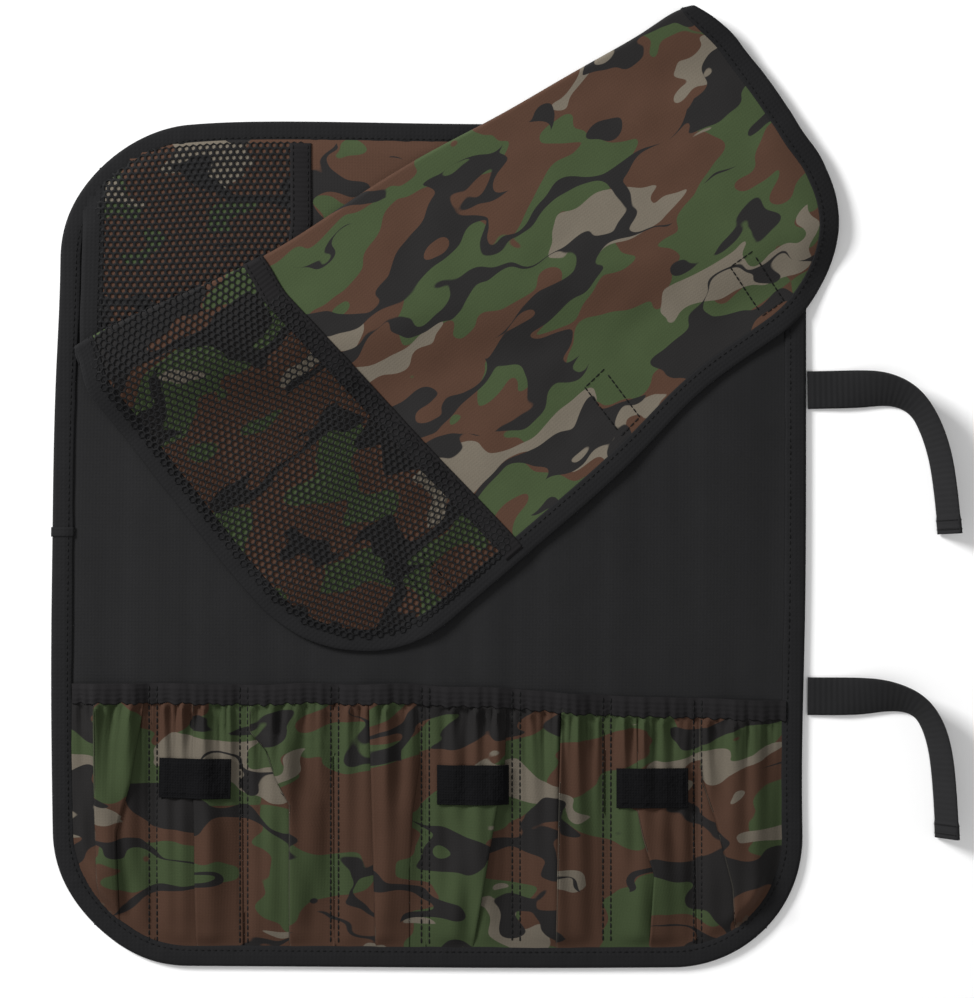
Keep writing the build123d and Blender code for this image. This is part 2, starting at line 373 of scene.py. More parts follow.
def fabric(name, colour, weave_pitch, weave_depth, roughness=0.9, specular=0.15, ribs=None,
           mottle_and_sheen=0.12, fuzz=0.0):
    """A cloth or tape: colour is a plain display colour, or a function that adds the nodes of one."""
    material = bpy.data.materials.new(name)
    material.use_nodes = True
    tree = material.node_tree
    shader = tree.nodes["Principled BSDF"]
    coords = node(tree, "ShaderNodeAttribute", attribute_name="flat").outputs["Vector"]
    base = colour(tree, coords) if callable(colour) else rgb(*colour)
    # broad_sheen_and_tone is soft, wide brightness noise: random tone of the cloth together with painted
    # sheen and painted wrinkle shade. grain is the cloth's own fine random tone.
    broad_sheen_and_tone = calc(tree, "MULTIPLY", noise_value(tree, coords, CLOUD_SCALE, 3.0), mottle_and_sheen * 2)
    grain = calc(tree, "MULTIPLY", noise_value(tree, coords, GRAIN_SCALE, 1.0), mottle_and_sheen * 3)
    shade = calc(tree, "ADD", calc(tree, "ADD", broad_sheen_and_tone, grain), 1.0 - mottle_and_sheen * 2.5)
    tone = node(tree, "ShaderNodeCombineColor", {0: shade, 1: shade, 2: shade}).outputs[0]
    tree.links.new(mixed(tree, 1.0, base, tone, "MULTIPLY"), shader.inputs["Base Color"])
    shader.inputs["Roughness"].default_value = roughness
    shader.inputs["Specular IOR Level"].default_value = specular
    if ribs:
        inputs = {"Vector": coords, "Scale": 1000.0 / weave_pitch / 2 / math.pi, "Distortion": 0.15}
        height = node(tree, "ShaderNodeTexWave", inputs, bands_direction=ribs).outputs["Fac"]
    else:
        height = cloth_weave(tree, coords, weave_pitch)
    if fuzz:
        rough = noise_value(tree, coords, FUZZ_SCALE, 2.0)
        height = calc(tree, "ADD", height, calc(tree, "MULTIPLY", rough, fuzz))
    inputs = {"Height": height, "Strength": 0.8, "Distance": weave_depth * MM}
    tree.links.new(node(tree, "ShaderNodeBump", inputs).outputs["Normal"], shader.inputs["Normal"])
    return material


CAMO_BROWN = (76, 55, 44)
CAMO_GREEN = (62, 74, 49)
CAMO_BLACK = (37, 36, 36)
CAMO_TAN = (106, 99, 88)


def camo(tree, coords, fade_and_shade=0.0, faded_and_shaded=(60, 58, 52)):
    """Woodland print: brown and green patches, tan slivers and black branching shapes."""
    base = moved(tree, coords, turn=0.30, scale=(10.5, 17.0, 1.0))
    sway = node(tree, "ShaderNodeTexNoise", {"Vector": base, "Scale": 2.3, "Detail": 1.0}).outputs["Color"]
    sway = node(tree, "ShaderNodeVectorMath", {0: sway, 1: (0.5, 0.5, 0.5)}, operation="SUBTRACT").outputs[0]
    sway = node(tree, "ShaderNodeVectorMath", {0: sway, "Scale": 0.9}, operation="SCALE").outputs[0]
    bent = node(tree, "ShaderNodeVectorMath", {0: base, 1: sway}, operation="ADD").outputs[0]
    patches = noise_value(tree, bent, 1.5, 0.3, 0.4)
    green = above(tree, patches, 0.53)
    sliver = noise_value(tree, moved(tree, bent, place=(7, 3, 5), scale=(0.9, 1.7, 1)), 1.5, 0.2, 0.4)
    tan = above(tree, sliver, 0.655)
    vein = noise_value(tree, moved(tree, bent, place=(21, 11, 9), scale=(0.9, 1.3, 1)), 1.25, 0.6, 0.45)
    vein = calc(tree, "ABSOLUTE", calc(tree, "SUBTRACT", vein, 0.5))
    mask = noise_value(tree, moved(tree, bent, place=(3, 29, 2)), 1.5, 0.3, 0.4)
    width = calc(tree, "MULTIPLY", calc(tree, "SUBTRACT", mask, 0.40), 0.34)
    black = above(tree, calc(tree, "SUBTRACT", width, vein), 0.0)
    colour = mixed(tree, green, rgb(*CAMO_BROWN), rgb(*CAMO_GREEN))
    colour = mixed(tree, tan, colour, rgb(*CAMO_TAN))
    colour = mixed(tree, black, colour, rgb(*CAMO_BLACK))
    # fade_and_shade mixes the print towards another colour: the reverse side's real fade, and painted shade
    # on the pockets for the shadows in their gathers.
    return mixed(tree, fade_and_shade, colour, rgb(*faded_and_shaded)) if fade_and_shade else colour


def lining_colour(tree, coords):
    """Black nylon with faint paler streaks along its length."""
    streaks = noise_value(tree, moved(tree, coords, scale=(60.0, 2.5, 1.0)), 1.0, 2.0)
    return mixed(tree, streaks, rgb(22, 22, 23), rgb(34, 34, 35))


CAMO = fabric("camo_cloth", camo, 0.8, 0.05, roughness=0.85, specular=0.2, mottle_and_sheen=0.07)
# The pockets' camo is mixed 28% towards near-black (18, 16, 15): painted shade for the shadows in the
# pockets' gathers, added on top of the gathers' real relief.
CAMO_POCKETS_PAINTED_SHADE = fabric("camo_pockets_painted_shade", lambda tree, coords: camo(tree, coords, 0.28, (18, 16, 15)), 0.8, 0.05,
                     roughness=0.85, specular=0.15, mottle_and_sheen=0.09)
CAMO_BACK = fabric("camo_reverse", lambda tree, coords: camo(tree, coords, 0.55), 0.8, 0.04, mottle_and_sheen=0.07)
LINING = fabric("lining_nylon", lining_colour, 0.9, 0.05, roughness=0.75, specular=0.2, mottle_and_sheen=0.16)
OUTER = fabric("outer_canvas", (34, 34, 36), 1.2, 0.10, roughness=0.85, mottle_and_sheen=0.12)
TAPE = fabric("binding_tape", (31, 31, 32), 1.1, 0.10, roughness=0.85, mottle_and_sheen=0.10)
ELASTIC = fabric("elastic_band", (32, 31, 32), 1.3, 0.14, ribs="Y", mottle_and_sheen=0.10)
NET = fabric("net_yarn", (25, 25, 26), 0.6, 0.04, roughness=0.7, mottle_and_sheen=0.10)
WEBBING = fabric("strap_webbing", (34, 34, 35), 1.5, 0.16, ribs="Y", roughness=0.8, mottle_and_sheen=0.10)
PILE = fabric("loop_pile", (24, 24, 25), 0.7, 0.20, roughness=1.0, specular=0.05, mottle_and_sheen=0.15, fuzz=1.5)
HOOKS = fabric("hook_tape", (20, 20, 21), 0.9, 0.25, roughness=0.6, specular=0.3, mottle_and_sheen=0.1)
THREAD = fabric("thread", (15, 15, 16), 0.4, 0.05, roughness=0.7, specular=0.2, mottle_and_sheen=0.05)


# ---- camera, light and floor --------------------------------------------------------------
scene = bpy.context.scene
scene.view_settings.view_transform = "Standard"

VIEW_CENTRE = (30.2, 24.4)
VIEW_HEIGHT = 1469.0
camera = bpy.data.objects.new("camera", bpy.data.cameras.new("camera"))
camera.data.lens = 100.0
camera.data.sensor_width = 36.0
camera.data.clip_end = 20.0
camera.location = (VIEW_CENTRE[0] * MM, VIEW_CENTRE[1] * MM, VIEW_HEIGHT * MM)
scene.collection.objects.link(camera)
scene.camera = camera


def plain_material(name, colour, roughness):
    material = bpy.data.materials.new(name)
    material.use_nodes = True
    shader = material.node_tree.nodes["Principled BSDF"]
    shader.inputs["Base Color"].default_value = colour
    shader.inputs["Roughness"].default_value = roughness
    shader.inputs["Specular IOR Level"].default_value = 0.1
    return material


def area_light(name, place, size, power):
    """A square soft light aimed at the middle of the roll."""
    light = bpy.data.objects.new(name, bpy.data.lights.new(name, "AREA"))
    light.data.size = size
    light.data.energy = power
    light.location = place
    light.rotation_euler = (-Vector(place)).to_track_quat("-Z", "Y").to_euler()
    scene.collection.objects.link(light)


FLOOR_HALF = 6.0
FLOOR_Z = -0.0005
floor_corners = [(x * FLOOR_HALF, y * FLOOR_HALF, FLOOR_Z) for x, y in ((-1, -1), (1, -1), (1, 1), (-1, 1))]
floor_mesh = bpy.data.meshes.new("floor")
floor_mesh.from_pydata(floor_corners, [], [(0, 1, 2, 3)])
floor_mesh.materials.append(plain_material("floor_white", (0.99, 0.99, 0.99, 1.0), 0.9))
floor = bpy.data.objects.new("floor", floor_mesh)
scene.collection.objects.link(floor)

world = bpy.data.worlds.new("studio")
world.use_nodes = True
world.node_tree.nodes["Background"].inputs["Color"].default_value = (1.0, 1.0, 1.0, 1.0)
world.node_tree.nodes["Background"].inputs["Strength"].default_value = 0.36
scene.world = world
area_light("key", (-1.8, 1.2, 1.3), 0.8, 84.0)
area_light("fill", (0.6, -0.4, 2.2), 1.6, 11.0)


# ---- the flap: built flat, then folded in three -------------------------------------------
def direction(angle):
    return np.array((math.cos(angle), math.sin(angle))), np.array((-math.sin(angle), math.cos(angle)))


VALLEY_ALONG, VALLEY_NORMAL = direction(VALLEY_ANGLE)
RIDGE_ALONG, RIDGE_NORMAL = direction(RIDGE_ANGLE)
# The ridge's normal on the flat flap is its mirror image in the valley line.
RIDGE_NORMAL_FLAT = RIDGE_NORMAL - 2 * (RIDGE_NORMAL @ VALLEY_NORMAL) * VALLEY_NORMAL
FOLD_MARGIN = 1.5           # flat cloth that goes with each fold's piece

LOWER_ALONG, LOWER_NORMAL = direction(FOLD_TURN)
LOWER_CORNER = np.array((-188.7, 106.0))
FOLD_TIP = FOLD_CENTRE + RIDGE_ALONG * (FLAP_RIGHT - FOLD_CENTRE[0]) / math.cos(FOLD_TURN - RIDGE_ANGLE)
# How the ridge and the side beyond its tip stray from straight lines: (place, reach, pull).
SIDE_PULLS = (((170.0, 264.0), 20.0, (-1.3, -1.2)), ((214.0, 162.0), 34.0, (2.6, -1.0)),
              ((32.0, 226.0), 36.0, (0.6, -1.2)), ((124.0, 278.0), 19.0, (-1.0, 1.9)))
SAG_DEPTH = 6.3             # how far the lower layer hangs from the fold down to the lining
DROOP_DEPTH = 5.0           # how far the corner past the panel's edge hangs
SEAM_HANG = 1.2             # how far the upper layer dips where it is sewn to the panel
MOST_HANG = 8.4             # keeps the corner above what the roll lies on
LOWER_LENGTH = 370.0        # the lower layer as it lies: its length, its depth and how much that grows
LOWER_DEPTH = 240.0
LOWER_SPREAD = 0.17
FAR_CORNER_SHIFT = (-13.8, 10.1)        # how the layer's far and near right corners stray as it lies
NEAR_CORNER_SHIFT = (8.0, 4.5)
BULGE = 8.5                 # how far the net's edge bows out, and the free edge bends in
BULGE_WAY = (-0.787, -0.617)
HOLLOW = 5.5
HOLLOW_WAY = (-0.616, 0.788)
TIP_PULL = ((8.0, 4.4), (3.4, 2.2))     # how far the ridge's tip is pulled in: broadly, and at its point
TIP_REACH = (21.0, 14.0)
LEFT_TIP_PULL = (1.0, -0.8)
LEFT_TIP_REACH = 10.0
RIDGE_SAG = 7.0             # how far the ridge's middle sags into the flap
RIDGE_SAG_PLACE = 148.0
RIDGE_SAG_REACH = (62.0, 75.0)          # along the ridge, and away from it


def eased(points):
    """The panel's pieces as they lie: sewn cloth isn't quite as straight as it is cut."""
    points = np.array(points, float)
    x, y = points[:, 0].copy(), points[:, 1].copy()
    left, right = np.clip(-x / 199, 0, 1), np.clip(x / 199, 0, 1)
    high, low = np.clip(y / 222, 0, 1), np.clip(-y / 222, 0, 1)
    points[:, 0] += left * (1.7 * smooth((y - 20) / 150) - 1.4 * bump(y, -70, 90) + 1.6 * bump(y, 140, 45))
    points[:, 0] -= right * 2.2 * bump(y, -125, 75)
    points[:, 1] += high * (1.6 * bump(x, -80, 75) - 1.3 * bump(x, -152, 30)) - low * 1.2 * bump(x, 60, 130)
    for sign, pull, width in ((1, 2.4, 40), (-1, 1.4, 32)):
        corner = bump(np.hypot(x + 176, y - sign * 200), 0, width)
        points[:, 0] += pull * corner
        points[:, 1] -= sign * pull * corner
    return points


def past_folds(flat):
    """Distance beyond the flap's valley line and its ridge line, on the flat flap."""
    from_centre = flat[:, :2] - FOLD_CENTRE
    return from_centre @ VALLEY_NORMAL, from_centre @ RIDGE_NORMAL_FLAT


def region_of(flat):
    """Index in REGIONS of points of the flat flap."""
    above_valley, past_ridge = past_folds(flat)
    region = np.full(len(flat), 2)
    region[past_ridge > RIDGE_HALF + FOLD_MARGIN] = 4
    region[np.abs(past_ridge) <= RIDGE_HALF + FOLD_MARGIN] = 3
    region[np.abs(above_valley) <= VALLEY_HALF + FOLD_MARGIN] = 1
    region[above_valley > VALLEY_HALF + FOLD_MARGIN] = 0
    return region


def folded(flat):
    """Where points (x, y, height above the cloth) of the flat flap lie once it is folded."""
    height = flat[:, 2]
    from_centre = flat[:, :2] - FOLD_CENTRE
    across, along = from_centre @ VALLEY_NORMAL, from_centre @ VALLEY_ALONG
    turn = np.clip((VALLEY_HALF - across) / (2 * VALLEY_HALF), 0, 1) * math.pi
    in_valley = (turn > 0) & (turn < math.pi)
    radius = VALLEY_RADIUS - height
    side = np.where(in_valley, VALLEY_HALF - radius * np.sin(turn), np.abs(across))
    z = UPPER_Z + VALLEY_RADIUS - radius * np.cos(turn)
    place = FOLD_CENTRE + np.outer(along, VALLEY_ALONG) + np.outer(side, VALLEY_NORMAL)

    from_centre = place - FOLD_CENTRE
    across, along = from_centre @ RIDGE_NORMAL, from_centre @ RIDGE_ALONG
    second = (turn >= math.pi) & (across > -RIDGE_HALF)
    turn = np.clip((across + RIDGE_HALF) / (2 * RIDGE_HALF), 0, 1) * math.pi
    radius = RIDGE_RADIUS + height
    side = np.where(turn < math.pi, -RIDGE_HALF + radius * np.sin(turn), -across)
    ridge_z = MIDDLE_Z + RIDGE_RADIUS - radius * np.cos(turn)
    moved_place = FOLD_CENTRE + np.outer(along, RIDGE_ALONG) + np.outer(side, RIDGE_NORMAL)
    place[second] = moved_place[second]
    z[second] = ridge_z[second]
    return np.column_stack([place, z])


def settled(flat):
    """The folded flap as it lies: its layers shift a little, and hang where nothing holds them up."""
    points = folded(flat)
    above_valley, past_ridge = past_folds(flat)
    x, y = points[:, 0].copy(), points[:, 1].copy()
    past_valley = np.maximum(-above_valley - VALLEY_HALF, 0)
    before_ridge = np.maximum(-past_ridge - RIDGE_HALF, 0)
    share = smooth(past_valley / np.maximum(past_valley + before_ridge, 1e-6))

    from_corner = points[:, :2] - LOWER_CORNER
    along, depth = from_corner @ LOWER_ALONG, -(from_corner @ LOWER_NORMAL)
    p = np.clip(along / LOWER_LENGTH, 0, 1.2)
    q = np.clip((depth - LOWER_SPREAD * along) / (LOWER_DEPTH - LOWER_SPREAD * along), 0, 1.1)
    bulge = BULGE * smooth(q / 0.12) * (1 - 0.7 * smooth((q - 0.55) / 0.45)) * np.clip(1 - p, 0, 1) ** 2.2
    hollow = HOLLOW * q * bump(p, 0.68, 0.12)
    to_tip = np.hypot(x - FOLD_TIP[0], y - FOLD_TIP[1])
    to_left_tip = np.hypot(x - LOWER_CORNER[0], y - LOWER_CORNER[1])
    tip_point = np.clip(1 - to_tip / TIP_REACH[1], 0, 1) ** 2
    for axis in (0, 1):
        corners = FAR_CORNER_SHIFT[axis] * p * q + NEAR_CORNER_SHIFT[axis] * p * p * (1 - q)
        edges = BULGE_WAY[axis] * bulge + HOLLOW_WAY[axis] * hollow
        tip = TIP_PULL[0][axis] * bump(to_tip, 0.0, TIP_REACH[0]) + TIP_PULL[1][axis] * tip_point
        left_tip = LEFT_TIP_PULL[axis] * bump(to_left_tip, 0.0, LEFT_TIP_REACH)
        points[:, axis] += share * (corners + edges - tip + left_tip)
    along_ridge = (np.column_stack([x, y]) - FOLD_CENTRE) @ RIDGE_ALONG
    below_ridge = -(np.column_stack([x, y]) - FOLD_CENTRE) @ RIDGE_NORMAL
    ridge_sag = share * RIDGE_SAG * bump(along_ridge, RIDGE_SAG_PLACE, RIDGE_SAG_REACH[0])
    ridge_sag *= bump(np.maximum(below_ridge, 0), 0.0, RIDGE_SAG_REACH[1])
    points[:, :2] -= ridge_sag[:, None] * RIDGE_NORMAL
    for place, width, pull in SIDE_PULLS:
        near = share * bump(np.hypot(x - place[0], y - place[1]), 0.0, width)
        points[:, :2] += near[:, None] * np.array(pull)

    near_seam = smooth((above_valley - 6) / 30)[:, None]
    points[:, :2] += near_seam * (eased(points) - points)[:, :2]
    points[:, 0] -= near_seam[:, 0] * 2.8 * smooth((-x - 110) / 70)

    lower = past_ridge > RIDGE_HALF
    from_centre = np.column_stack([x, y]) - FOLD_CENTRE
    below_valley = -(from_centre @ VALLEY_NORMAL)
    from_ridge = np.maximum(-(from_centre @ RIDGE_NORMAL), 0)
    outside = -panel_inset(x, y)
    hang = SAG_DEPTH * smooth(below_valley / 40) * lower
    hang += DROOP_DEPTH * smooth(outside / 30) * smooth(from_ridge / 45) * (above_valley < 0)
    upper = above_valley > VALLEY_HALF
    hang += SEAM_HANG * smooth((15.5 - panel_inset(x, y)) / 6) * upper
    points[:, 2] -= np.minimum(hang, MOST_HANG)
    points[:, 2] += 0.9 * noise(x, y, 38, 5) * smooth(from_ridge / 30) * smooth(below_valley / 30) * lower
    points[:, 2] += 0.5 * noise(x, y, 15, 6) * smooth(from_ridge / 25) * lower
    return points


# Where each fold's piece is cut from the flat flap, and the lines between that its bend needs.
FOLD_LINES = [(VALLEY_NORMAL, s) for s in np.linspace(-VALLEY_HALF, VALLEY_HALF, 9)]
FOLD_LINES += [(VALLEY_NORMAL, s) for s in (-VALLEY_HALF - FOLD_MARGIN, VALLEY_HALF + FOLD_MARGIN)]
FOLD_LINES += [(RIDGE_NORMAL_FLAT, s) for s in np.linspace(-RIDGE_HALF, RIDGE_HALF, 9)]
FOLD_LINES += [(RIDGE_NORMAL_FLAT, s) for s in (-RIDGE_HALF - FOLD_MARGIN, RIDGE_HALF + FOLD_MARGIN)]
CUT_REACH = VALLEY_HALF + FOLD_MARGIN + 8.0    # how near a fold line a face is when it may be cut


def hold_flap(obj, region):
    """A piece of the flap's middle or lower layer moves with its layer; the upper layer and the fold pieces
    stay where they are laid.
    """
    if region == "upper":
        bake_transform(obj)
    elif region == "valley":
        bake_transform(obj)
    elif region == "ridge":
        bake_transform(obj)
    else:
        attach(obj, "flap_" + region)


def end_caps(flat, faces):
    """Faces that close a two-sided sheet where it was cut across."""
    number = {(round(x, 3), round(y, 3), z > 0): k for k, (x, y, z) in enumerate(flat.tolist())}
    edges = {(a, b) for face in faces for a, b in zip(face, face[1:] + face[:1])}
    caps = []
    for a, b in edges:
        if (b, a) in edges or flat[a][2] < 0 or flat[b][2] < 0:
            continue
        under = [number.get((round(flat[k][0], 3), round(flat[k][1], 3), False)) for k in (a, b)]
        if None not in under:
            caps.append([b, a, under[0], under[1]])
    return caps


def sharpen(mesh, caps):
    """Keeps the end faces from bending the light on the cloth beside them."""
    corners = {frozenset(pair) for cap in caps for pair in zip(cap, cap[1:] + cap[:1])}
    for edge in mesh.edges:
        if frozenset(edge.vertices) in corners:
            edge.use_edge_sharp = True


def fold_pieces(name, points, faces, materials, slots=None, closed=False):
    """Cuts a flat piece of the flap at the fold lines and lays each part where it is folded."""
    points = np.asarray(points, float)
    faces = [tuple(int(i) for i in face) for face in faces]
    slots = [0] * len(faces) if slots is None else list(slots)
    centre = np.array([points[list(face)].mean(axis=0) for face in faces])
    kept = (panel_inset(centre[:, 0], centre[:, 1]) > 8.5) | (centre[:, 1] < 0)
    above_valley, past_ridge = past_folds(centre)
    near = (np.abs(above_valley) < CUT_REACH) | (np.abs(past_ridge) < CUT_REACH)
    cut = np.flatnonzero(kept & near)
    whole = np.flatnonzero(kept & ~near)
    mesh = bpy.data.meshes.new("flat")
    mesh.from_pydata(points.tolist(), [], [faces[k] for k in cut])
    mesh.polygons.foreach_set("material_index", np.array([slots[k] for k in cut], np.int32))
    bm = bmesh.new()
    bm.from_mesh(mesh)
    bpy.data.meshes.remove(mesh)
    bmesh.ops.delete(bm, geom=[v for v in bm.verts if not v.link_faces], context="VERTS")
    for normal, shift in FOLD_LINES:
        place = FOLD_CENTRE + normal * shift
        bmesh.ops.bisect_plane(bm, geom=bm.verts[:] + bm.edges[:] + bm.faces[:], dist=1e-5,
                               plane_co=(place[0], place[1], 0), plane_no=(normal[0], normal[1], 0))
    bm.verts.index_update()
    cut_points = np.array([v.co[:] for v in bm.verts]).reshape(-1, 3)
    cells = [faces[k] for k in whole] + [[v.index + len(points) for v in f.verts] for f in bm.faces]
    index = np.array([slots[k] for k in whole] + [f.material_index for f in bm.faces])
    bm.free()
    flat, weld = np.unique(np.round(np.vstack([points, cut_points]), 3), axis=0, return_inverse=True)
    weld = weld.ravel()
    cells = [[int(weld[i]) for i in cell] for cell in cells]
    centre = np.array([flat[cell].mean(axis=0) for cell in cells])
    region = region_of(centre)
    placed = settled(flat)
    made = {}
    for number, label in enumerate(REGIONS):
        chosen = np.flatnonzero(region == number)
        if not len(chosen):
            continue
        used = sorted({i for k in chosen for i in cells[k]})
        renumber = {old: new for new, old in enumerate(used)}
        local = [[renumber[i] for i in cells[k]] for k in chosen]
        caps = end_caps(flat[used], local) if closed else []
        kinds = np.concatenate([index[chosen], np.ones(len(caps), int)])
        obj = add_object(f"{label}_flap_{name}", placed[used], local + caps, materials, flat[used], kinds)
        sharpen(obj.data, caps)
        hold_flap(obj, label)
        made[label] = obj
    return made


def slab(points, faces, half):
    """A sheet's two faces and its rim: (points, faces, slots), with slot 0 on top only."""
    count = len(points)
    top = points + (0, 0, half)
    bottom = points - (0, 0, half)
    faces = [tuple(map(int, face)) for face in faces]
    edges = {}
    for face in faces:
        for a, b in zip(face, face[1:] + face[:1]):
            edges[(a, b)] = True
    rim = [(b, a, a + count, b + count) for a, b in edges if (b, a) not in edges]
    under = [tuple(i + count for i in reversed(face)) for face in faces]
    slots = [0] * len(faces) + [1] * (len(under) + len(rim))
    return np.vstack([top, bottom]), faces + under + rim, slots


def flap_path(first_y=207.0, inset=0.0, step=2.0):
    """The flap's edge from its left top corner round its free edge to its right top corner."""
    radius = FLAP_CORNER - inset
    left, right, low = FLAP_LEFT + inset, FLAP_RIGHT - inset, FLAP_FREE_Y + inset
    left_centre = (left + radius, low + radius)
    right_centre = (right - radius, low + radius)
    return joined_path([
        line_points((left, first_y), (left, left_centre[1]), step),
        arc_points(left_centre, radius, math.pi, 1.5 * math.pi, step),
        line_points((left_centre[0], low), (right_centre[0], low), step),
        arc_points(right_centre, radius, 1.5 * math.pi, 2 * math.pi, step),
        line_points((right, right_centre[1]), (right, first_y), step),
    ])


def in_flap(x, y):
    return (flap_inset(x, y) > 3.0) & (panel_inset(x, y) > 7.0)


def mouth_x(y):
    """The net's mouth on the flat flap: the net pulls its band towards the flap's side at the folds."""
    return NET_MOUTH_X + np.interp(y, (-150.0, 63.0, 170.0), (3.0, -13.0, 0.0))


def in_net(x, y):
    return in_flap(x, y) & (x < mouth_x(y) - 3.0) & (flap_inset(x, y) > 7.0)


def net_height(x, y):
    """The net's height above the flap's cloth: it stands a little off the lower layer."""
    past_ridge = (np.column_stack([x, y]) - FOLD_CENTRE) @ RIDGE_NORMAL_FLAT
    loose = smooth((past_ridge - 8) / 30)
    return 0.80 + loose * (0.55 + 0.35 * noise(x, y, 22, 8))


def net_mesh():
    """Six-sided cells, each a ring round its hole."""
    corners = [(math.pi / 3 * k + math.pi / 6) for k in range(6)]
    outer = np.array([(math.cos(a), math.sin(a)) for a in corners]) * NET_PITCH / math.sqrt(3)
    upper_hole = NET_HOLE - 0.17
    row_step = NET_PITCH * math.sqrt(3) / 2
    numbers, points, faces = {}, [], []

    def vertex(x, y):
        key = (round(x, 2), round(y, 2))
        if key not in numbers:
            numbers[key] = len(points)
            points.append((x, y))
        return numbers[key]

    for row in range(int((FLAP_TOP_Y - FLAP_FREE_Y) / row_step)):
        y = FLAP_FREE_Y + row * row_step
        for column in range(int((NET_MOUTH_X - FLAP_LEFT) / NET_PITCH) + 2):
            x = FLAP_LEFT + (column + 0.5 * (row % 2)) * NET_PITCH
            if not in_net(np.array([x]), np.array([y]))[0]:
                continue
            rim = [vertex(x + dx, y + dy) for dx, dy in outer]
            share = NET_HOLE if past_folds(np.array([(x, y)]))[0][0] < 0 else upper_hole
            hole = [vertex(x + dx, y + dy) for dx, dy in outer * share]
            faces += [(rim[k], rim[(k + 1) % 6], hole[(k + 1) % 6], hole[k]) for k in range(6)]
    points = np.array(points)
    height = net_height(points[:, 0], points[:, 1])
    return np.column_stack([points, height]), faces


TAPE_PROFILE = [(-0.7, -0.4), (-0.7, 0.4), (-0.1, 0.85), (1.5, 1.0), (6, 1.0), (TAPE_FACE - 0.8, 0.95),
                (TAPE_FACE, 0.7), (TAPE_FACE, -0.7), (TAPE_FACE - 0.8, -0.95), (6, -1.0), (1.5, -1.0),
                (-0.1, -0.85)]

# cloth
cloth_points, cloth_faces = sheet_cells(FLAP_LEFT, FLAP_RIGHT, FLAP_FREE_Y, FLAP_TOP_Y, 3.0, in_flap)
points, faces, slots = slab(cloth_points, cloth_faces, CLOTH_THICKNESS / 2)
flap_cloth = fold_pieces("cloth", points, faces, [CAMO, CAMO_BACK], slots, closed=True)

# net, its elastic mouth band and the tape round the flap's edge
points, faces = net_mesh()
flap_net = fold_pieces("net", points, faces, [NET])
for obj in flap_net.values():
    thicken(obj, 0.34)

band_path = line_points((0.0, FLAP_TOP_Y - 5), (0.0, FLAP_FREE_Y + 4), 2.0)
band_path[:, 0] = mouth_x(band_path[:, 1])
band_profile = [(-0.3, 0.65), (-0.3, 1.1), (0.6, 1.35), (NET_BAND_WIDTH - 1.2, 1.35),
                (NET_BAND_WIDTH, 1.15), (NET_BAND_WIDTH, 0.65)]
points, faces = sweep(band_path, np.tile((-1.0, 0.0), (len(band_path), 1)), band_profile, False)
flap_band = fold_pieces("net_band", points, faces, [ELASTIC])

edge_path = flap_path()
wobble = 0.35 * noise(edge_path[:, 0], edge_path[:, 1], 14, 12)
points, faces = sweep(edge_path, left_normals(edge_path, False), TAPE_PROFILE, False)
points[:, 0] += np.repeat(wobble, len(TAPE_PROFILE))
flap_tape = fold_pieces("binding", points, faces, [TAPE])

threads = [stitch_run(flap_path(inset=8.6), 1.08), stitch_run(flap_path(inset=8.6), -1.08)]
for inset in (1.6, 9.4):
    path = line_points((0.0, FLAP_TOP_Y - 6), (0.0, FLAP_FREE_Y + 10), 2.0)
    path[:, 0] = mouth_x(path[:, 1]) - inset
    threads.append(stitch_run(path, 1.45))
strip_half = np.array(HOOK_STRIP_SIZE) / 2 - 1.2
for x in HOOK_STRIP_X:
    ways = ((-1, -1), (1, -1), (1, 1), (-1, 1))
    corners = [np.array((x, HOOK_STRIP_Y)) + strip_half * way for way in ways]
    for a, b in zip(corners, corners[1:] + corners[:1]):
        threads.append(stitch_run(line_points(a, b, 1.0), 0.6, 3.1, 0.3))
points, faces = merged(threads)
fold_pieces("stitches", points, faces, [THREAD])

for layer in ("upper", "middle"):
    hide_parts(f"flap_{layer}_cloth")
    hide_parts(f"flap_{layer}_net")
    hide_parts(f"flap_{layer}_net_band")
    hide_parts(f"flap_{layer}_binding_left", f"flap_{layer}_binding_right")
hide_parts("flap_lower_cloth")
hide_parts("flap_lower_net")
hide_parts("flap_lower_net_band")
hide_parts("flap_lower_binding")


# ---- hook strips under the lower layer ----------------------------------------------------
def hook_strip(name, node_name, x):
    """A strip of stiff tape set with rows of small hooks, on the flap's reverse."""
    half_x, half_y = np.array(HOOK_STRIP_SIZE) / 2
    points, faces = sheet_cells(x - half_x, x + half_x, HOOK_STRIP_Y - half_y, HOOK_STRIP_Y + half_y, 2.0,
                                lambda a, b: a == a)
    points, faces, slots = slab(points, faces, 0.35)
    points[:, 2] -= CLOTH_THICKNESS / 2 + 0.35
    parts = [(points, faces)]
    tooth = np.array([(-0.3, -0.3), (0.3, -0.3), (0.3, 0.3), (-0.3, 0.3)])
    for cx in np.arange(x - half_x + 1.2, x + half_x - 0.8, 1.5):
        for cy in np.arange(HOOK_STRIP_Y - half_y + 1.2, HOOK_STRIP_Y + half_y - 0.8, 1.5):
            root = np.column_stack([tooth + (cx, cy), np.full(4, -1.15)])
            tip = np.column_stack([tooth * 0.5 + (cx + 0.35, cy), np.full(4, -1.85)])
            cells = [(k, (k + 1) % 4, 4 + (k + 1) % 4, 4 + k) for k in range(4)] + [(7, 6, 5, 4)]
            parts.append((np.vstack([root, tip]), cells))
    points, faces = merged(parts)
    obj = add_object(name, settled(points), faces, [HOOKS], points)
    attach(obj, "flap_lower")
    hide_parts(node_name)


for number, x in enumerate(HOOK_STRIP_X):
    hook_strip(f"hook_tape_{number + 1}", f"hook_strip_{number + 1}", x)


